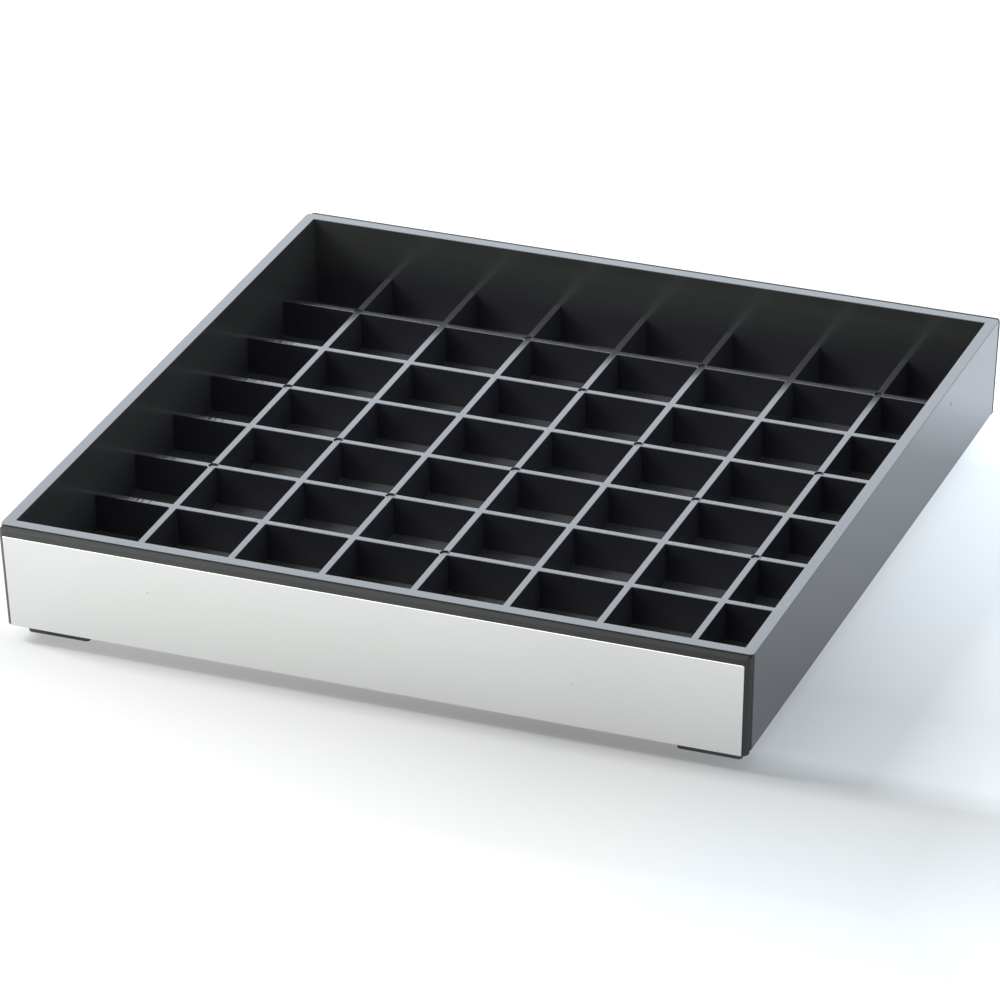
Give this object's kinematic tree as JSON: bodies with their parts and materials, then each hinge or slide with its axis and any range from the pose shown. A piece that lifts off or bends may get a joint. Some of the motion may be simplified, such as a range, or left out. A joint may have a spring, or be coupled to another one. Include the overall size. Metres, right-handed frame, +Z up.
{
  "type": "coin display tray",
  "caption": "Square black stacking tray divided into a grid of open coin compartments, with a bright metal plate on its front and rear faces and low feet.",
  "frame": {"origin": "middle of the tray's outline on the surface it stands on", "axes": "+X to the right seen from the front, +Y from the front face to the rear face, +Z up; the front faces -Y"},
  "size_m": [0.241, 0.2466, 0.0386],
  "materials": {
    "black_moulding": "semi-gloss moulded black plastic, finely tooled on its level faces",
    "black_carrier": "satin black",
    "metal_plate": "bright, nearly mirror-smooth metal with softened edges",
    "foam_tape": "matt foam",
    "foot_rubber": "matt black"
  },
  "bodies": {
    "root": {"tray_body": "black_moulding", "divider_long_1": "black_moulding", "divider_long_2": "black_moulding", "divider_long_3": "black_moulding", "divider_long_4": "black_moulding", "divider_long_5": "black_moulding", "divider_long_6": "black_moulding", "divider_long_7": "black_moulding", "divider_cross_1": "black_moulding", "divider_cross_2": "black_moulding", "divider_cross_3": "black_moulding", "divider_cross_4": "black_moulding", "divider_cross_5": "black_moulding", "divider_cross_6": "black_moulding", "divider_cross_7": "black_moulding", "front_carrier": "black_carrier", "front_tape_upper": "foam_tape", "front_tape_lower": "foam_tape", "front_plate": "metal_plate", "rear_carrier": "black_carrier", "rear_tape_upper": "foam_tape", "rear_tape_lower": "foam_tape", "rear_plate": "metal_plate", "foot_front_left": "foot_rubber", "foot_front_right": "foot_rubber", "foot_rear_left": "foot_rubber", "foot_rear_right": "foot_rubber"}
  },
  "joints": []
}
